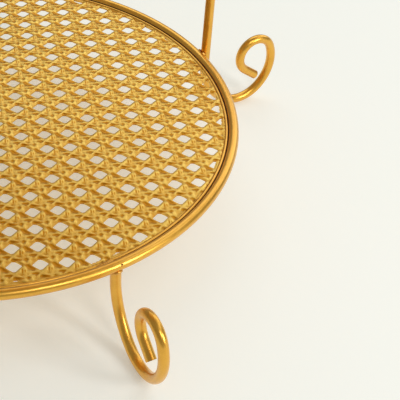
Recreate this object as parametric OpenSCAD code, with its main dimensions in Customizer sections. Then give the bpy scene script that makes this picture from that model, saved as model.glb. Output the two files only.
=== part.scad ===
// Two-tier cake stand: a welded frame of round rod that holds two pierced, cane-patterned plates.
// The origin is on the table under the middle of the stand. The two posts stand on the X axis.

/* [Rod] */
// Diameter of the rod that all rings, feet, posts and the handle are bent from
rod_d = 6; // [5:0.5:8]

/* [Lower tier] */
// Diameter of the lower ring, measured on the middle line of the rod
lower_ring_d = 300; // [260:1:304]
// Height of the middle line of the lower ring above the table
lower_ring_z = 48; // [46:1:60]
// Angle between the rows of holes in the lower plate and the X axis
lower_rows_angle = -19; // [-45:1:45]
// Offset of the nearest hole from the middle of the lower plate, along its rows
lower_hole_x = -5.9; // [-6.5:0.1:6.5]
// Offset of the nearest hole from the middle of the lower plate, across its rows
lower_hole_y = 2.2; // [-6.5:0.1:6.5]

/* [Upper tier] */
// Diameter of the upper ring, measured on the middle line of the rod
upper_ring_d = 240; // [236:1:280]
// Height of the upper ring above the lower ring, middle line to middle line
tier_gap = 217; // [212:1:260]
// Angle between the rows of holes in the upper plate and the X axis
upper_rows_angle = 12; // [-45:1:45]
// Offset of the nearest hole from the middle of the upper plate, along its rows
upper_hole_x = 2.5; // [-6.5:0.1:6.5]
// Offset of the nearest hole from the middle of the upper plate, across its rows
upper_hole_y = -4; // [-6.5:0.1:6.5]

/* [Plates] */
// Thickness of the plate sheet
sheet_t = 0.8; // [0.6:0.1:1.2]
// Gap between the edge of a plate and the inside of its ring
plate_gap = 0.5; // [0.5:0.1:1.5]
// Diameter of the rolled bead round the edge of a plate
bead_d = 2.2; // [1.6:0.1:3]
// Width of the plain band between the holes and the edge of a plate
plain_band = 3.7; // [2.5:0.1:12]
// Distance from hole to hole in the cane pattern
hole_pitch = 13.4; // [11:0.1:16]
// Width of a hole from corner to corner, as a share of the pitch
hole_share = 0.64; // [0.4:0.01:0.9]

/* [Feet] */
// How far the front and back feet stand off the Y axis, as an angle about the stand
foot_skew = 4; // [0:1:10]
// How far the plane of the front and back feet is turned away from the middle of the stand
foot_toe = 6; // [0:1:10]
// Bend radius at the top of a foot
foot_top_r = 39; // [36:1:42]
// Bend radius where a foot touches the table
foot_sole_r = 22; // [20:1:26]
// Bend radius of the outer side of a foot
foot_side_r = 28; // [24:1:30]
// Bend radius of the curl at the end of a foot
foot_curl_r = 12.2; // [12:0.1:14]
// Length of the straight end inside the curl
foot_tip = 11; // [8:1:14]

/* [Posts and handle] */
// Height above the lower ring at which a post starts to lean in
post_straight = 76; // [60:1:78]
// Radius of the two bends that bring a post in to the upper ring
post_bend_r = 160; // [150:5:165]
// Height of the upright stretch above the upper ring, before the arch begins
arch_rise = 10; // [5:1:40]
// Diameter of the handle ring, measured on the middle line of the rod
handle_d = 44; // [36:1:60]

/* [Hidden] */
$fn = 64;
rod_r = rod_d / 2;
lower_r = lower_ring_d / 2;
upper_r = upper_ring_d / 2;
upper_ring_z = lower_ring_z + tier_gap;
// The posts touch the outside of both rings
post_x = lower_r + rod_d;
arch_r = upper_r + rod_d;
// Two equal bends move a post from post_x in to arch_r
post_bend_angle = acos(1 - (post_x - arch_r) / 2 / post_bend_r);
post_lead = tier_gap - post_straight - 2 * post_bend_r * sin(post_bend_angle);
arch_top_z = upper_ring_z + arch_rise + arch_r;
handle_z = arch_top_z + rod_d + handle_d / 2;
// Bend angles of a foot, from its upright top to its curled end
foot_top_angle = 60;
foot_sole_angle = 75;
foot_side_angle = 68;
foot_curl_angle = 210;
foot_drop = lower_ring_z - rod_r;
foot_lead = foot_drop - foot_top_r * sin(foot_top_angle) - foot_sole_r * (1 - sin(foot_top_angle));
// Two runs of rod stop this far short of where they meet, and a collar a hair wider than the rod joins them
run_trim = 0.05;
collar_l = 0.5;
collar_r = rod_r + 0.01;
// Radius of the balls that the welds at posts, feet and handle are cut from
weld_r = 2.6;
foot_weld_r = rod_r + 1.1;
// The fillets keep this far from the line where post and ring touch
weld_gap = 0.3;
// Each plate is tacked to its ring at three places, by a bead of weld of this radius and arc
tack_angles = [-88, 46, 166];
tack_r = 1.3;
tack_rise = 0.6;
tack_arc = 4;
// Facets of the curved tools that cut the welds
fine = 160;
gold = [0.83, 0.62, 0.24];
weld_gold = [0.72, 0.50, 0.18];

// A short collar over the place where two runs of rod meet
module collar() {
    rotate([0, 90, 0]) cylinder(r = collar_r, h = collar_l, center = true);
}

// A rod that starts at the origin along +X and turns in the XY plane. Each run is [length, 0] for a
// straight stretch, or [radius, angle] for a bend, with a positive angle to the left. A joined rod
// continues another one, so its first run stops short of the start as well.
module rod(runs, joined = false, i = 0) {
    if (i < len(runs)) {
        size = runs[i][0];
        angle = runs[i][1];
        head = i > 0 || joined ? run_trim : 0;
        tail = i < len(runs) - 1 ? run_trim : 0;
        if (i > 0) collar();
        if (angle == 0) {
            translate([head, 0, 0]) rotate([0, 90, 0]) cylinder(r = rod_r, h = size - head - tail);
            translate([size, 0, 0]) rod(runs, joined, i + 1);
        } else {
            side = sign(angle);
            turn = 180 / PI / size;
            start = angle > 0 ? head * turn - 90 : tail * turn + 90 + angle;
            translate([0, side * size, 0]) {
                rotate([0, 0, start]) rotate_extrude(angle = abs(angle) - (head + tail) * turn, $fn = 128)
                    translate([size, 0]) circle(r = rod_r);
                rotate([0, 0, angle]) translate([0, -side * size, 0]) rod(runs, joined, i + 1);
            }
        }
    }
}

// A closed hoop of rod about the Z axis
module hoop(r) {
    rotate_extrude($fn = 2 * fine) translate([r, 0]) circle(r = rod_r, $fn = fine);
}

// The scroll of a foot, down to the table and back up in a curl. It starts with an upright lead.
module scroll(lead, joined = false) {
    rotate([90, 0, 0]) rotate([0, 0, -90]) rod([
        [lead, 0],
        [foot_top_r, foot_top_angle],
        [foot_sole_r, foot_sole_angle],
        [foot_side_r, foot_side_angle],
        [foot_curl_r, foot_curl_angle],
        [foot_tip, 0]
    ], joined);
}

// The back foot, butted against the underside of the lower ring. Half a turn makes it the front foot.
module ring_foot() {
    rotate([0, 0, foot_skew + 90]) translate([lower_r, 0, foot_drop]) rotate([0, 0, -foot_toe])
        scroll(foot_lead - rod_r);
}

// A post: a scroll foot, the upright past both rings, and half of the arch
module post() {
    translate([post_x, 0, lower_ring_z]) {
        scroll(foot_lead, true);
        rotate([90, 0, 0]) rotate([0, 0, 90]) {
            collar();
            rod([
                [post_straight, 0],
                [post_bend_r, post_bend_angle],
                [post_bend_r, -post_bend_angle],
                [post_lead + arch_rise, 0],
                [arch_r, 90]
            ], true);
        }
    }
}

// A pierced plate with a rolled edge, centred on the height of its ring. The holes are diamonds on a
// square grid, and the edge of the pierced field cuts through the outermost ones.
module plate(ring_r, rows_angle, hole_x, hole_y) {
    bead_x = ring_r - rod_r - plate_gap - bead_d / 2;
    field_r = ring_r - rod_r - plate_gap - plain_band;
    hole_d = hole_pitch * hole_share;
    steps = ceil(field_r / hole_pitch) + 1;
    translate([0, 0, -sheet_t / 2]) linear_extrude(sheet_t) difference() {
        circle(r = bead_x, $fn = 128);
        intersection() {
            circle(r = field_r, $fn = 128);
            rotate(rows_angle) for (i = [-steps : steps], j = [-steps : steps]) {
                x = i * hole_pitch + hole_x;
                y = j * hole_pitch + hole_y;
                if (norm([x, y]) < field_r - hole_d / 8) translate([x, y]) circle(d = hole_d, $fn = 4);
            }
        }
    }
    rotate_extrude($fn = 128) translate([bead_x, 0]) circle(d = bead_d);
}

// Short beads of weld that bridge the gap between the edge of a plate and its ring
module tacks(ring_r, z) {
    gap_x = ring_r - rod_r - plate_gap / 2;
    translate([0, 0, z]) for (a = tack_angles)
        rotate([0, 0, a - tack_arc / 2]) rotate_extrude(angle = tack_arc, $fn = 2 * fine) difference() {
            translate([gap_x, tack_rise]) circle(r = tack_r, $fn = fine);
            translate([ring_r, 0]) circle(r = rod_r, $fn = fine);
            translate([gap_x - plate_gap / 2 - bead_d / 2, 0]) circle(d = bead_d, $fn = fine);
        }
}

// Fillets of weld on both sides of each post, where it touches a ring
module post_welds(ring_r, z) {
    for (end = [0, 180], side = [-1, 1])
        rotate([0, 0, end]) translate([0, 0, z]) difference() {
            translate([ring_r + rod_r, side * (weld_r + weld_gap), 0]) sphere(r = weld_r, $fn = fine);
            hoop(ring_r);
            translate([ring_r + rod_d, 0, -rod_d]) cylinder(r = rod_r, h = 2 * rod_d, $fn = fine);
        }
}

module lower_plate() {
    color(gold) translate([0, 0, lower_ring_z])
        plate(lower_r, lower_rows_angle, lower_hole_x, lower_hole_y);
}

module lower_ring() {
    color(gold) translate([0, 0, lower_ring_z]) hoop(lower_r);
}

module lower_plate_tacks() {
    color(weld_gold) tacks(lower_r, lower_ring_z);
}

module front_foot() {
    color(gold) rotate([0, 0, 180]) ring_foot();
}

module back_foot() {
    color(gold) ring_foot();
}

// A collar of weld round the top of the front foot and of the back foot
module foot_welds() {
    color(weld_gold) for (side = [-90, 90])
        rotate([0, 0, foot_skew + side]) difference() {
            translate([lower_r, 0, foot_drop]) sphere(r = foot_weld_r, $fn = fine);
            translate([lower_r, 0, foot_drop - rod_d]) cylinder(r = rod_r, h = 2 * rod_d, $fn = fine);
            translate([0, 0, lower_ring_z]) hoop(lower_r);
        }
}

module left_post() {
    color(gold) rotate([0, 0, 180]) post();
}

module right_post() {
    color(gold) post();
}

module lower_post_welds() {
    color(weld_gold) post_welds(lower_r, lower_ring_z);
}

module upper_plate() {
    color(gold) translate([0, 0, upper_ring_z])
        plate(upper_r, upper_rows_angle, upper_hole_x, upper_hole_y);
}

module upper_ring() {
    color(gold) translate([0, 0, upper_ring_z]) hoop(upper_r);
}

module upper_plate_tacks() {
    color(weld_gold) tacks(upper_r, upper_ring_z);
}

module upper_post_welds() {
    color(weld_gold) post_welds(upper_r, upper_ring_z);
}

module handle_ring() {
    color(gold) translate([0, 0, handle_z]) rotate([90, 0, 0]) hoop(handle_d / 2);
}

// The fillets of weld on both sides of the handle ring, where it stands on the arch
module handle_welds() {
    color(weld_gold) for (side = [-1, 1]) difference() {
        translate([side * 1.2 * rod_r, 0, arch_top_z + rod_r]) sphere(r = weld_r, $fn = fine);
        translate([0, 0, handle_z]) rotate([90, 0, 0]) hoop(handle_d / 2);
        translate([0, 0, arch_top_z - arch_r]) rotate([90, 0, 0]) hoop(arch_r);
    }
}

lower_plate();
lower_ring();
lower_plate_tacks();
front_foot();
back_foot();
foot_welds();
left_post();
right_post();
lower_post_welds();
upper_plate();
upper_ring();
upper_plate_tacks();
upper_post_welds();
handle_ring();
handle_welds();
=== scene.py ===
"""Looks of the two-tier cake stand. Metres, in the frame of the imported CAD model."""
import math

import bpy
import numpy as np
from mathutils import Matrix, Vector, noise


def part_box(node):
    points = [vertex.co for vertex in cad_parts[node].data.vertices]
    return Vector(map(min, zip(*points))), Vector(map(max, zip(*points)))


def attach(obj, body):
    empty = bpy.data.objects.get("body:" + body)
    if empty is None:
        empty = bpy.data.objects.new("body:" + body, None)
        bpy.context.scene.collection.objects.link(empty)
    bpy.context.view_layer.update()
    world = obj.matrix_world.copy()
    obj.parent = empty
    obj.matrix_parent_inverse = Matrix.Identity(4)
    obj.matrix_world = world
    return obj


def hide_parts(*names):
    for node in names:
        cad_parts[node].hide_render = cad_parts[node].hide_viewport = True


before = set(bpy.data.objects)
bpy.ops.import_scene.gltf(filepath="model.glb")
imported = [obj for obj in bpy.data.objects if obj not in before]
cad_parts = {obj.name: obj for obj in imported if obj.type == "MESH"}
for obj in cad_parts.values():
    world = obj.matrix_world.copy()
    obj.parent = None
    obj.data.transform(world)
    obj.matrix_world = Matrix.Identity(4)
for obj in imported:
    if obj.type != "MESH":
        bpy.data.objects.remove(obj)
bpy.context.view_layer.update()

MM = 0.001
BODY = "root"

# ---------------------------------------------------------------- measures

# The pressed cane pattern. Its cell is one pitch wide, and holes lie at the corners of the cells.
PITCH = 13.4 * MM
SHEET_T = 0.8 * MM
# In squares of the mesh: one pitch, then from a hole's middle to its corners if they were sharp, and last
# to where they are cut off
CELL_STEPS = 20
HOLE_REACH = 7
HOLE_CUT = 6
# Strips of cane, in pitches: a pair of upright and of level ones, and one along each diagonal
PAIR_OFFSET = 0.1
PAIR_HALF = 0.098
DIAGONAL_HALF = 0.118
# For each strip of a pair: its side, and where the upright and the level one come to the top
PAIR_STRIPS = ((-1, 0.25, 0.2), (1, 0.75, 0.72))
UPRIGHT_SHARE = 0.8
LEVEL_SHARE = 0.45
STRAND_RISE = 0.4 * MM
WEAVE_RISE = 0.3 * MM
GROOVE_DEPTH = 0.42 * MM
GAP_DEPTH = 0.15 * MM
# How often the relief is smoothed to round its edges, and again to find what lies lower than its
# surroundings, which is darkened with painted shade, while what lies higher is lightened with painted
# highlight
RELIEF_PASSES = 1
SHADE_PASSES = 5
SHARP_ANGLE = math.radians(60)
# The relief is lower round a hole: its share at the edge, and how far from it the relief is whole
EDGE_SHARE = 0.3
HOLE_EASE = 0.2

# Where the pressing dips deepest between the strips, in cells from a hole:
# middle (u, v), half length, half width, angle, and depth as a share of GROOVE_DEPTH
DIPS = (
    (0.61, 0.15, 0.20, 0.065, 45, 1.4),
    (0.13, 0.68, 0.19, 0.05, 14, 1.2),
    (0.54, 0.69, 0.10, 0.045, 35, 0.4),
    (0.77, 0.49, 0.14, 0.050, 4, 0.8),
    (0.81, 0.56, 0.09, 0.045, -55, 1.0),
    (0.30, 0.30, 0.12, 0.025, -86, 0.7),
    (0.41, 0.34, 0.10, 0.025, 80, 0.6),
)
# How much painted shade darkens the paint in a dip, and how far apart the fine lines of two strips are drawn
# from each other
DIP_SHADE = 1.3
LINES_APART = 7.0

# The plate's edge. Its gap and the limit of its holes are measured in from the ring, and the limit of the
# pressed sheet and the width of the plain band from the plate's own edge.
PLATE_GAP = 0.5 * MM
HOLE_LIMIT = 3.7 * MM
FIELD_LIMIT = 1.6 * MM
BAND_WIDTH = 3.1 * MM
BAND_LAP = 0.05 * MM
BEAD_R = 0.9 * MM
BEAD_TURN = 165
RIM_LIFT = 0.2 * MM
RIM_STEPS = 360
SKIRT = 2.6 * MM
SKIRT_BEND = 0.3 * MM
# The dark strip of painted shade in the seam: its lower and upper edge over the ring's middle, how far it is
# sunk into what it touches, and how far it stands out from the ring
SEAM_LOW = 0.45 * MM
SEAM_HIGH = 1.05 * MM
SEAM_SUNK = 0.1 * MM
SEAM_PROUD = 0.06 * MM
SEAM_STEPS = 240

# Rows of holes: angle to the X axis, and the offset of the nearest hole from the middle
LOWER_ROWS = (math.radians(-19), -5.9 * MM, 2.2 * MM)
UPPER_ROWS = (math.radians(12), 2.5 * MM, -4.0 * MM)

# Beads of weld: their roundness, ripples and lumps
BEAD_SIDES = 18
BEAD_TIP = 0.002
RIPPLE = 0.09
LUMP = 0.28
LUMP_SIZE = 1.6 * MM
# Tacks between a plate and its ring: their places, and how far they lie in from the ring and over its
# middle height
TACK_DEGREES = (-87.7, 46, 166)
TACK_LENGTH = 10 * MM
TACK_R = 1.25 * MM
TACK_IN = 0.2 * MM
TACK_UP = 0.75 * MM
# Collars round the top of the front and back foot. Their reach is a share of the rod's radius, and their
# climb is a share of how far the ring curves upwards there.
FOOT_DEGREES = (-86, 94)
COLLAR_R = 0.8 * MM
COLLAR_REACH = 0.93
COLLAR_CLIMB = 0.55
COLLAR_DROP = 0.2 * MM
# Fillets beside the posts: points outwards, sideways and upwards from the middle of the ring's rod, in radii
# of that rod
FILLET_R = 1.1 * MM
FILLET_ROUTE = ((0.7, 0.55, 0.85), (1.05, 0.9, 0.2), (1.0, 0.75, -0.8))
# Fillets of the handle ring: how far out they lie, as a share of their box, and half their length
HANDLE_REACH = 0.72
HANDLE_HALF = 1.6 * MM
# The pit over the front foot: its place on the ring, and its lip and bottom in millimetres
PIT_DEGREES = -85.2
PIT_TILT = math.radians(38)
PIT_RADIUS = 0.62
PIT_LIP = 0.2
PIT_BOTTOM = ((0.02, -0.1), (0.6, -0.1), (0.6, 0.07), (0.02, 0.07))

CAMERA_AT = Vector((-182.8, -494.0, 434.7)) * MM
CAMERA_AIM = Vector((76.0, -124.6, 48.0)) * MM
CAMERA_ROLL = math.radians(5.69)
CAMERA_LENS = 97.0
SENSOR = 36.0

# Lamps: name, place, width, height, watts and colour. All of them face the middle of the stand.
LAMPS_AIM = (0, 0, 0.1)
LAMPS = (
    ("key", (0.9, -1.5, 0.85), 0.4, 0.8, 10, (1.0, 0.99, 0.97)),
    ("front", (0.1, -1.3, 1.4), 0.5, 0.7, 5, (1.0, 0.99, 0.98)),
    ("fill", (1.3, -0.35, 1.75), 1.1, 1.1, 3.5, (1.0, 0.99, 0.97)),
    ("window", (2.0, 0.7, 1.1), 1.4, 1.4, 7, (0.98, 0.99, 1.0)),
    ("ceiling", (0.8, 1.35, 1.8), 1.9, 1.7, 10, (0.98, 1.0, 1.0)),
)
FLOOR_HALF = 6.0

RODS = ("lower_ring", "upper_ring", "front_foot", "back_foot", "left_post", "right_post", "handle_ring")


def hoop_of(node):
    """Radius, height and rod radius of a level ring."""
    lo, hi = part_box(node)
    rod = (hi.z - lo.z) / 2
    return hi.x - rod, (hi.z + lo.z) / 2, rod


# ---------------------------------------------------------------- meshes

def build_mesh(name, points, quads, triangles=None):
    """A mesh from arrays of points, four-sided faces and three-sided faces."""
    triangles = np.zeros((0, 3), int) if triangles is None else triangles
    mesh = bpy.data.meshes.new(name)
    mesh.vertices.add(len(points))
    mesh.vertices.foreach_set("co", np.asarray(points, np.float32).ravel())
    corners = np.concatenate([quads.ravel(), triangles.ravel()]).astype(np.int32)
    mesh.loops.add(len(corners))
    mesh.loops.foreach_set("vertex_index", corners)
    sides = np.concatenate([np.full(len(quads), 4), np.full(len(triangles), 3)])
    starts = np.concatenate([[0], np.cumsum(sides)[:-1]]).astype(np.int32)
    mesh.polygons.add(len(sides))
    mesh.polygons.foreach_set("loop_start", starts)
    mesh.polygons.foreach_set("use_smooth", np.ones(len(sides), bool))
    mesh.update(calc_edges=True)
    mesh.validate()
    return mesh


def make_piece(mesh, material):
    piece = bpy.data.objects.new(mesh.name, mesh)
    bpy.context.scene.collection.objects.link(piece)
    mesh.materials.append(material)
    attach(piece, BODY)
    return piece


def to_nearest(value):
    """Signed distance to the nearest whole number."""
    return value - np.round(value)


def strip_profile(t):
    """Cross-section of a cane strip: nearly flat with round shoulders, 1 in the middle and 0 at the edge."""
    return 1 - np.clip(np.abs(t), 0, 1) ** 3


def cane_strips(u, v):
    """The strips of cane at a place, in cells.

    For each: where the place lies across it and along it, where its crest is, and its share of WEAVE_RISE.
    """
    strips = []
    for side, crest_v, crest_u in PAIR_STRIPS:
        strips.append((to_nearest(u - 0.5 - side * PAIR_OFFSET) / PAIR_HALF, v, crest_v, UPRIGHT_SHARE))
        strips.append((to_nearest(v - 0.5 - side * PAIR_OFFSET) / PAIR_HALF, u, crest_u, LEVEL_SHARE))
    for lean in (-1, 1):
        cross = u - lean * v - 0.5
        across = to_nearest(cross) / math.sqrt(2) / DIAGONAL_HALF
        strips.append((across, (u + lean * v - np.round(cross)) / 2, 0, 1))
    return strips


def cane_relief(u, v):
    """The woven relief at a place in cells, with a hole at each whole number.

    Gives the height over the sheet, and where the place lies across the strip that is on top.
    """
    height = np.full_like(u, -GAP_DEPTH)
    fibre = np.zeros_like(u)
    for number, (across, along, crest, share) in enumerate(cane_strips(u, v)):
        rise = STRAND_RISE * strip_profile(across) + share * WEAVE_RISE * np.cos(2 * np.pi * (along - crest))
        on_top = (np.abs(across) < 1) & (rise > height)
        height = np.where(on_top, rise, height)
        fibre = np.where(on_top, across + LINES_APART * number, fibre)
    from_hole = np.abs(to_nearest(u)) + np.abs(to_nearest(v)) - HOLE_REACH / CELL_STEPS
    return height * np.clip(EDGE_SHARE + from_hole / HOLE_EASE, EDGE_SHARE, 1), fibre


def dips(u, v):
    """How deep the dips are at a place in cells, as a share of GROOVE_DEPTH."""
    depth = np.zeros_like(u)
    for middle_u, middle_v, half_length, half_width, angle, share in DIPS:
        cos, sin = math.cos(math.radians(angle)), math.sin(math.radians(angle))
        du, dv = to_nearest(u - middle_u), to_nearest(v - middle_v)
        along, across = (cos * du + sin * dv) / half_length, (cos * dv - sin * du) / half_width
        depth = np.maximum(depth, share * np.exp(-(along ** 4) - across ** 2))
    return depth


def smoothed(grid, passes):
    """A grid blurred by averaging each value with its eight neighbours, as often as asked."""
    for _ in range(passes):
        for axis in (0, 1):
            grid = (np.roll(grid, 1, axis) + 2 * grid + np.roll(grid, -1, axis)) / 4
    return grid


def closed_sheet(name, points, drop, quads, triangles):
    """Closes a sheet: its faces, the same faces turned over and dropped, and walls along every open edge."""
    count = len(points)
    faces = [quads, triangles]
    edges = np.concatenate([np.stack([f, np.roll(f, -1, axis=1)], -1).reshape(-1, 2) for f in faces])
    keys = np.sort(edges, axis=1)
    keys = keys[:, 0] * count + keys[:, 1]
    _, first, uses = np.unique(keys, return_index=True, return_counts=True)
    rim = edges[first[uses == 1]]
    walls = np.stack([rim[:, 1], rim[:, 0], rim[:, 0] + count, rim[:, 1] + count], axis=1)
    under = points - np.array([0, 0, drop])
    all_quads = np.concatenate([quads, quads[:, ::-1] + count, walls])
    all_triangles = np.concatenate([triangles, triangles[:, ::-1] + count])
    return build_mesh(name, np.concatenate([points, under]), all_quads, all_triangles)


def add_attribute(mesh, name, values):
    attribute = mesh.attributes.new(name, "FLOAT", "POINT")
    attribute.data.foreach_set("value", values.astype(np.float32))


def pierced_faces(kx, ky, r, field_r, hole_r):
    """The whole squares of the grid round the holes, and the triangles on the holes' slanted sides."""
    index = np.arange(kx.size).reshape(kx.shape)
    a, b, c, d = index[:-1, :-1], index[1:, :-1], index[1:, 1:], index[:-1, 1:]
    corner_r = np.stack([r[:-1, :-1], r[1:, :-1], r[1:, 1:], r[:-1, 1:]])
    inside = np.all(corner_r < field_r, axis=0)
    half = CELL_STEPS / 2
    cx = (kx[:-1, :-1] + 0.5 + half) % CELL_STEPS - half
    cy = (ky[:-1, :-1] + 0.5 + half) % CELL_STEPS - half
    near_hole = (np.abs(cx) < HOLE_CUT) & (np.abs(cy) < HOLE_CUT) & np.all(corner_r < hole_r, axis=0)
    spread = np.abs(cx) + np.abs(cy)
    cut = near_hole & (spread == HOLE_REACH)
    whole = inside & ~cut & ~(near_hole & (spread < HOLE_REACH))
    quads = np.stack([f[whole] for f in (a, b, c, d)], axis=1)
    # On the slanted sides of a hole only the outer half of a square is kept
    corners = {(1, 1): (b, c, d), (-1, 1): (a, c, d), (-1, -1): (a, b, d), (1, -1): (a, b, c)}
    triangles = [
        np.stack([f[cut & (np.sign(cx) == sx) & (np.sign(cy) == sy)] for f in three], axis=1)
        for (sx, sy), three in corners.items()
    ]
    return quads, np.concatenate(triangles)


def cane_sheet(name, plate_r, z, rows):
    """The pressed and pierced sheet of a plate, out to just under its rim."""
    turn, hole_x, hole_y = rows
    field_r = plate_r - FIELD_LIMIT
    hole_r = plate_r - HOLE_LIMIT + PLATE_GAP
    step = PITCH / CELL_STEPS
    reach = int(field_r / step) + CELL_STEPS
    k = np.arange(-reach, reach + 1)
    kx, ky = np.meshgrid(k, k, indexing="ij")
    x, y = hole_x + kx * step, hole_y + ky * step
    r = np.hypot(x, y)
    height, fibre = cane_relief(kx / CELL_STEPS, -ky / CELL_STEPS)
    dip = dips(kx / CELL_STEPS, -ky / CELL_STEPS)
    fade = np.clip((field_r - r) / (field_r - hole_r), 0, 1)
    height = (smoothed(height, RELIEF_PASSES) - GROOVE_DEPTH * dip) * fade
    # Painted shade and highlight: darker where the relief lies lower than its surroundings and in the dips,
    # lighter where it lies higher
    lower = np.clip((smoothed(height, SHADE_PASSES) - height) / GROOVE_DEPTH, -1, 1)
    painted_shade_and_highlight = lower + DIP_SHADE * dip * fade

    quads, triangles = pierced_faces(kx, ky, r, field_r, hole_r)
    cos, sin = math.cos(turn), math.sin(turn)
    top = z + SHEET_T / 2 + height
    places = np.stack([cos * x - sin * y, sin * x + cos * y, top], axis=-1).reshape(-1, 3)
    used = np.unique(np.concatenate([quads.ravel(), triangles.ravel()]))
    renumber = np.zeros(len(places), int)
    renumber[used] = np.arange(len(used))
    mesh = closed_sheet(name, places[used], SHEET_T, renumber[quads], renumber[triangles])
    add_attribute(mesh, "painted_shade_and_highlight", np.tile(painted_shade_and_highlight.ravel()[used], 2))
    add_attribute(mesh, "fibre", np.tile(fibre.ravel()[used], 2))
    mesh.set_sharp_from_angle(angle=SHARP_ANGLE)
    return mesh


def revolve(name, profile, steps):
    """A closed ring about the Z axis from a closed profile of (radius, height) points."""
    profile = np.asarray(profile)
    angles = np.arange(steps) * 2 * np.pi / steps
    points = np.stack([
        np.outer(np.cos(angles), profile[:, 0]),
        np.outer(np.sin(angles), profile[:, 0]),
        np.tile(profile[:, 1], (steps, 1)),
    ], axis=-1).reshape(-1, 3)
    i, j = np.meshgrid(np.arange(steps), np.arange(len(profile)), indexing="ij")
    i2, j2 = (i + 1) % steps, (j + 1) % len(profile)
    n = len(profile)
    quads = np.stack([i * n + j, i2 * n + j, i2 * n + j2, i * n + j2], axis=-1).reshape(-1, 4)
    return build_mesh(name, points, quads)


def rim_profile(plate_r, z):
    """Cross-section of a plate's edge: a plain band, a rolled bead, and a skirt turned down outside it."""
    top = z + RIM_LIFT
    bead_x = plate_r - BEAD_R
    turns = np.radians(np.linspace(0, BEAD_TURN, 15))
    bead = [(bead_x + BEAD_R * math.cos(t), top + BEAD_R * math.sin(t)) for t in turns]
    inner = plate_r - BAND_WIDTH
    wall = plate_r - SHEET_T
    return [
        (plate_r, top - SKIRT), *bead, (bead_x - 1.25 * BEAD_R, top - BAND_LAP),
        (inner, z + SHEET_T / 2 + BAND_LAP), (inner, z - SHEET_T / 2 - BAND_LAP),
        (wall - SKIRT_BEND, z - SHEET_T / 2), (wall, top - SKIRT),
    ]


def seam_shade_profile(plate_r, ring_r, rod_r, z):
    """Cross-section of the dark strip of painted shade that closes the seam between a plate and its ring, and
    climbs the ring.
    """
    shoulder = [(ring_r - math.sqrt(rod_r ** 2 - h ** 2), z + h) for h in np.linspace(SEAM_LOW, SEAM_HIGH, 7)]
    buried = [(x + SEAM_SUNK, h) for x, h in shoulder]
    face = [(x - SEAM_PROUD, h) for x, h in shoulder[::-1]]
    inner = plate_r - SEAM_SUNK
    floor = [(inner, z + SEAM_LOW + SEAM_SUNK), (inner, z + SEAM_LOW - SEAM_SUNK)]
    return buried + face[:-1] + floor


def make_plate(node, ring_node, rows, paints):
    ring_r, z, rod_r = hoop_of(ring_node)
    plate_r = ring_r - rod_r - PLATE_GAP
    sheet = make_piece(cane_sheet(node + "_sheet", plate_r, z, rows), paints["sheet"])
    rim = revolve(node + "_rim", rim_profile(plate_r, z), RIM_STEPS)
    make_piece(rim, paints["rod"])
    # The seam strip is painted shade: a dark strip laid where the seam lies in shade
    seam = revolve(node + "_seam", seam_shade_profile(plate_r, ring_r, rod_r, z), SEAM_STEPS)
    make_piece(seam, paints["seam"])
    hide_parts(node)


# ---------------------------------------------------------------- welds

def resampled(points, count):
    """Points evenly spaced along a polyline."""
    points = np.array(points, float)
    lengths = np.concatenate([[0], np.cumsum(np.linalg.norm(np.diff(points, axis=0), axis=1))])
    at = np.linspace(0, lengths[-1], count)
    return np.stack([np.interp(at, lengths, points[:, k]) for k in range(3)], axis=1)


def across_path(ahead):
    """Two unit vectors square to each direction of travel."""
    side = np.cross(ahead, [0, 0, 1.0]) + np.cross(ahead, [0, 1e-3, 0])
    side /= np.linalg.norm(side, axis=1)[:, None]
    return side, np.cross(side, ahead)


def tube_faces(n, closed):
    """Faces of a tube of n rings. An open tube ends in fans round two more points, one at each end."""
    sides = BEAD_SIDES
    i, j = np.meshgrid(np.arange(n if closed else n - 1), np.arange(sides), indexing="ij")
    i2, j2 = (i + 1) % n, (j + 1) % sides
    quads = np.stack([i * sides + j, i * sides + j2, i2 * sides + j2, i2 * sides + j], axis=-1).reshape(-1, 4)
    if closed:
        return quads, np.zeros((0, 3), int)
    j, j2 = np.arange(sides), (np.arange(sides) + 1) % sides
    first = np.stack([np.full(sides, n * sides), j2, j], axis=1)
    last = np.stack([np.full(sides, n * sides + 1), (n - 1) * sides + j, (n - 1) * sides + j2], axis=1)
    return quads, np.concatenate([first, last])


def weld_bead(points, radius, seed, closed=False, steps=36):
    """One bead of weld along a path: its points and faces. An open one has round ends.

    The seed shifts its ripples and lumps, so that no two beads are alike.
    """
    path = resampled(points, steps)
    if closed:
        path = path[:-1]
        ahead = np.roll(path, -1, axis=0) - np.roll(path, 1, axis=0)
        swell = np.ones(len(path))
    else:
        ahead = np.gradient(path, axis=0)
        swell = np.clip(1 - np.linspace(-1, 1, steps) ** 2, BEAD_TIP, 1) ** 0.4
    ahead /= np.linalg.norm(ahead, axis=1)[:, None]
    side, up = across_path(ahead)
    rings = []
    for i, centre in enumerate(path):
        ripple = 1 + RIPPLE * math.sin(1.5 * i + seed)
        for j in range(BEAD_SIDES):
            turn = 2 * math.pi * j / BEAD_SIDES
            outward = math.cos(turn) * side[i] + math.sin(turn) * up[i]
            lump = noise.noise(Vector((centre + outward * radius) / LUMP_SIZE) + Vector((seed, 0, 0)))
            rings.append(centre + outward * radius * swell[i] * ripple * (1 + LUMP * lump))
    ends = [] if closed else [path[0], path[-1]]
    return np.array(rings + ends), *tube_faces(len(path), closed)


def joined(name, parts):
    """One mesh from several sets of points and faces."""
    starts = np.concatenate([[0], np.cumsum([len(points) for points, _, _ in parts])[:-1]])
    points = np.concatenate([part[0] for part in parts])
    quads = np.concatenate([part[1] + start for part, start in zip(parts, starts)])
    triangles = np.concatenate([part[2] + start for part, start in zip(parts, starts)])
    return build_mesh(name, points, quads, triangles)


def make_welds(node, beads, paint):
    piece = make_piece(joined(node + "_beads", beads), paint)
    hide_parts(node)


def on_circle(radius, degrees, z):
    angle = math.radians(degrees)
    return (radius * math.cos(angle), radius * math.sin(angle), z)


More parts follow.
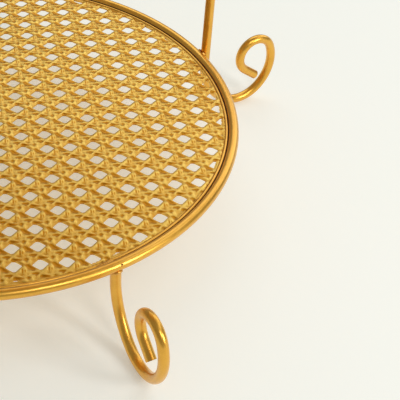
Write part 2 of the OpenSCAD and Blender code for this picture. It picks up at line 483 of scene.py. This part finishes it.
def plate_tacks(ring_node):
    ring_r, z, rod_r = hoop_of(ring_node)
    seam_r = ring_r - rod_r - TACK_IN
    half = math.degrees(TACK_LENGTH / 2 / seam_r)
    beads = []
    for n, degrees in enumerate(TACK_DEGREES):
        arc = [on_circle(seam_r, degrees + t * half, z + TACK_UP) for t in np.linspace(-1, 1, 9)]
        beads.append(weld_bead(arc, TACK_R, n))
    return beads


def foot_collars():
    """A collar of weld round the top of the front and back foot, which climbs the sides of the ring."""
    ring_r, z, rod_r = hoop_of("lower_ring")
    beads = []
    for n, degrees in enumerate(FOOT_DEGREES):
        around = []
        for turn in np.linspace(0, 2 * math.pi, 41):
            out = COLLAR_REACH * rod_r * math.cos(turn)
            sideways = math.degrees(COLLAR_REACH * rod_r * math.sin(turn) / ring_r)
            rise = rod_r - math.sqrt(rod_r ** 2 - out ** 2)
            height = z - rod_r - COLLAR_DROP + COLLAR_CLIMB * rise
            around.append(on_circle(ring_r + out, degrees + sideways, height))
        beads.append(weld_bead(around, COLLAR_R, 5 + n, closed=True, steps=49))
    return beads


def post_fillets(ring_node):
    """Fillets on both sides of each post, from the top of the ring down its outside."""
    ring_r, z, rod_r = hoop_of(ring_node)
    beads = []
    for end in (-1, 1):
        for side in (-1, 1):
            points = [
                (end * (ring_r + out * rod_r), side * across * rod_r, z + up * rod_r)
                for out, across, up in FILLET_ROUTE
            ]
            beads.append(weld_bead(points, FILLET_R, 11 + 2 * end + side, steps=24))
    return beads


def handle_fillets():
    """Two short fillets where the handle ring stands on the arch."""
    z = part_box("handle_ring")[0].z
    reach = HANDLE_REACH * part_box("handle_welds")[1].x
    beads = []
    for end in (-1, 1):
        line = [(end * reach, -HANDLE_HALF, z), (end * reach, HANDLE_HALF, z)]
        beads.append(weld_bead(line, FILLET_R, 20 + end, steps=24))
    return beads


def weld_pit(paints):
    """A small open pit in the paint over the weld of the front foot: a raised lip with a dark bottom."""
    ring_r, z, rod_r = hoop_of("lower_ring")
    turns = np.radians(np.arange(0, 360, 30))
    lip = [(PIT_RADIUS + PIT_LIP * math.cos(t), 0.02 + PIT_LIP * math.sin(t)) for t in turns]
    out = ring_r + rod_r * math.cos(PIT_TILT)
    place = Matrix.Rotation(math.radians(PIT_DEGREES), 4, "Z")
    place = place @ Matrix.Translation((out, 0, z + rod_r * math.sin(PIT_TILT)))
    place = place @ Matrix.Rotation(math.pi / 2 - PIT_TILT, 4, "Y")
    for name, profile, paint in (("weld_pit_lip", lip, "weld"), ("weld_pit_bottom", PIT_BOTTOM, "seam")):
        mesh = revolve(name, np.array(profile) * MM, 24)
        mesh.transform(place)
        make_piece(mesh, paints[paint])


# ---------------------------------------------------------------- materials

def new_material(name):
    material = bpy.data.materials.new(name)
    material.use_nodes = True
    tree = material.node_tree
    return material, tree, tree.nodes["Principled BSDF"]


def add_node(tree, kind, inputs=None, **settings):
    made = tree.nodes.new(kind)
    for key, value in settings.items():
        setattr(made, key, value)
    for key, value in (inputs or {}).items():
        made.inputs[key].default_value = value
    return made


def noise_of(tree, where, scale, detail, roughness=0.6):
    texture = add_node(tree, "ShaderNodeTexNoise", {"Scale": scale, "Detail": detail, "Roughness": roughness})
    tree.links.new(where, texture.inputs["Vector"])
    return texture.outputs["Fac"]


def arithmetic(tree, operation, first, second, third=0.0):
    """A maths node: sockets are linked and numbers are set."""
    made = add_node(tree, "ShaderNodeMath", operation=operation)
    for place, value in enumerate((first, second, third)):
        if isinstance(value, bpy.types.NodeSocket):
            tree.links.new(value, made.inputs[place])
        else:
            made.inputs[place].default_value = value
    return made.outputs[0]


def colour_between(tree, share, dark, light, low=0.0, high=1.0):
    """A colour that goes from dark to light while the share goes from low to high."""
    ramp = add_node(tree, "ShaderNodeValToRGB")
    ends = ramp.color_ramp.elements
    for end, colour, position in ((ends[0], dark, low), (ends[1], light, high)):
        end.color = (*colour, 1)
        end.position = position
    tree.links.new(share, ramp.inputs["Fac"])
    return ramp.outputs["Color"]


def bumps(tree, height, strength, distance, under=None):
    """A rough surface, laid over the normals of another one if there is one under it."""
    bump = add_node(tree, "ShaderNodeBump", {"Strength": strength, "Distance": distance})
    tree.links.new(height, bump.inputs["Height"])
    if under is not None:
        tree.links.new(under, bump.inputs["Normal"])
    return bump.outputs["Normal"]


def woven_tone(tree, tone, surface):
    """The paint of the sheet: darkened with painted shade in its dips and where the relief lies lower than
    its surroundings, lightened with painted highlight where it lies higher, with fine lines along each strip
    of cane.
    """
    painted_shade_and_highlight = add_node(tree, "ShaderNodeAttribute", attribute_name="painted_shade_and_highlight").outputs["Fac"]
    fibre = add_node(tree, "ShaderNodeAttribute", attribute_name="fibre").outputs["Fac"]
    line_noise = add_node(tree, "ShaderNodeTexNoise", {"Scale": 4.0, "Detail": 3}, noise_dimensions="1D")
    tree.links.new(fibre, line_noise.inputs["W"])
    lines = line_noise.outputs["Fac"]
    # Painted shade and highlight from the relief: darker where it lies low, lighter where it lies high
    tone = arithmetic(tree, "MULTIPLY_ADD", painted_shade_and_highlight, -0.75, tone)
    tone = arithmetic(tree, "SUBTRACT", tone, 0.17)
    tone = arithmetic(tree, "MULTIPLY_ADD", lines, 0.35, tone)
    return tone, arithmetic(tree, "MULTIPLY_ADD", lines, 1.6, surface)


def gold_paint(name, light, dark, roughness, woven=False):
    """Gold metal paint: clouds of thicker and thinner paint, fine flakes, and an orange-peel surface."""
    material, tree, shader = new_material(name)
    link = tree.links.new
    shader.inputs["Metallic"].default_value = 0.94
    shader.inputs["Coat Weight"].default_value = 0.2 if woven else 0.5
    shader.inputs["Coat Roughness"].default_value = 0.24
    where = add_node(tree, "ShaderNodeTexCoord").outputs["Object"]
    clouds = noise_of(tree, where, 110, 4)
    flakes = noise_of(tree, where, 2400, 2, 0.7)
    waves = noise_of(tree, where, 90, 2, 0.4)
    surface = noise_of(tree, where, 700, 3)
    tone = arithmetic(tree, "MULTIPLY_ADD", flakes, 0.5, arithmetic(tree, "MULTIPLY", clouds, 0.6))
    if woven:
        tone, surface = woven_tone(tree, tone, surface)
    link(colour_between(tree, tone, dark, light, 0.2, 0.75), shader.inputs["Base Color"])
    rough = add_node(tree, "ShaderNodeMapRange", {"To Min": roughness - 0.06, "To Max": roughness + 0.08})
    link(clouds, rough.inputs["Value"])
    link(rough.outputs["Result"], shader.inputs["Roughness"])
    broad = bumps(tree, waves, 0.5, 0.15 * MM)
    fine = bumps(tree, surface, 0.4, (0.1 if woven else 0.012) * MM, broad)
    link(fine, shader.inputs["Normal"])
    return material


def seam_shade_and_pit():
    """Dark, dull paint for the painted shade in the seam between a plate and its ring, and for the dark
    bottom of the pit.
    """
    material, tree, shader = new_material("seam_shade_and_pit")
    shader.inputs["Metallic"].default_value = 0.4
    shader.inputs["Roughness"].default_value = 0.75
    where = add_node(tree, "ShaderNodeTexCoord").outputs["Object"]
    stains = noise_of(tree, where, 300, 3)
    colour = colour_between(tree, stains, (0.055, 0.024, 0.006), (0.18, 0.085, 0.022))
    tree.links.new(colour, shader.inputs["Base Color"])
    return material


def floor_material():
    material, _, shader = new_material("floor")
    shader.inputs["Base Color"].default_value = (0.80, 0.81, 0.79, 1)
    shader.inputs["Emission Color"].default_value = (0.95, 1.0, 0.93, 1)
    shader.inputs["Emission Strength"].default_value = 0.29
    shader.inputs["Roughness"].default_value = 0.9
    shader.inputs["Specular IOR Level"].default_value = 0.1
    return material


def make_paints():
    return {
        "rod": gold_paint("gold_rod", (0.90, 0.50, 0.07), (0.68, 0.31, 0.02), 0.31),
        "sheet": gold_paint("gold_sheet", (0.86, 0.58, 0.12), (0.56, 0.24, 0.005), 0.36, woven=True),
        "weld": gold_paint("gold_weld", (0.80, 0.44, 0.08), (0.60, 0.27, 0.03), 0.36),
        # Dark paint: painted shade in the seams, and the bottom of the pit
        "seam": seam_shade_and_pit(),
    }


def paint_rods(paint):
    """Rods and rings keep the shape that the CAD model gives them."""
    for node in RODS:
        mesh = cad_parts[node].data
        mesh.materials.clear()
        mesh.materials.append(paint)


# ---------------------------------------------------------------- stage

def make_floor():
    size = FLOOR_HALF
    points = [(-size, -size, 0), (size, -size, 0), (size, size, 0), (-size, size, 0)]
    mesh = build_mesh("floor", np.array(points), np.array([[0, 1, 2, 3]]))
    floor = bpy.data.objects.new("floor", mesh)
    mesh.materials.append(floor_material())
    bpy.context.scene.collection.objects.link(floor)


def look_at(obj, place, aim, roll=0.0):
    forward = (aim - place).normalized()
    level = forward.cross(Vector((0, 0, 1))).normalized()
    upright = level.cross(forward)
    right = level * math.cos(roll) + upright * math.sin(roll)
    up = right.cross(forward)
    obj.matrix_world = Matrix.Translation(place) @ Matrix((right, up, -forward)).transposed().to_4x4()


def soft_light(name, place, width, height, watts, colour):
    data = bpy.data.lights.new(name, "AREA")
    data.shape = "ELLIPSE"
    data.size = width
    data.size_y = height
    data.energy = watts
    data.color = colour
    lamp = bpy.data.objects.new(name, data)
    bpy.context.scene.collection.objects.link(lamp)
    look_at(lamp, Vector(place), Vector(LAMPS_AIM))


def make_camera():
    data = bpy.data.cameras.new("camera")
    data.sensor_width = SENSOR
    data.lens = CAMERA_LENS
    data.clip_start = 0.01
    camera = bpy.data.objects.new("camera", data)
    bpy.context.scene.collection.objects.link(camera)
    look_at(camera, CAMERA_AT, CAMERA_AIM, CAMERA_ROLL)
    bpy.context.scene.camera = camera


def make_world():
    world = bpy.data.worlds.new("studio")
    bpy.context.scene.world = world
    world.use_nodes = True
    background = world.node_tree.nodes["Background"]
    background.inputs["Color"].default_value = (1.0, 0.95, 0.84, 1)
    background.inputs["Strength"].default_value = 0.3
    bpy.context.scene.view_settings.view_transform = "Standard"


# ---------------------------------------------------------------- the stand

make_camera()
make_world()
make_floor()
for lamp in LAMPS:
    soft_light(*lamp)

paints = make_paints()
paint_rods(paints["rod"])
make_plate("lower_plate", "lower_ring", LOWER_ROWS, paints)
make_plate("upper_plate", "upper_ring", UPPER_ROWS, paints)
make_welds("lower_plate_tacks", plate_tacks("lower_ring"), paints["weld"])
make_welds("upper_plate_tacks", plate_tacks("upper_ring"), paints["weld"])
make_welds("foot_welds", foot_collars(), paints["weld"])
make_welds("lower_post_welds", post_fillets("lower_ring"), paints["weld"])
make_welds("upper_post_welds", post_fillets("upper_ring"), paints["weld"])
make_welds("handle_welds", handle_fillets(), paints["weld"])
weld_pit(paints)
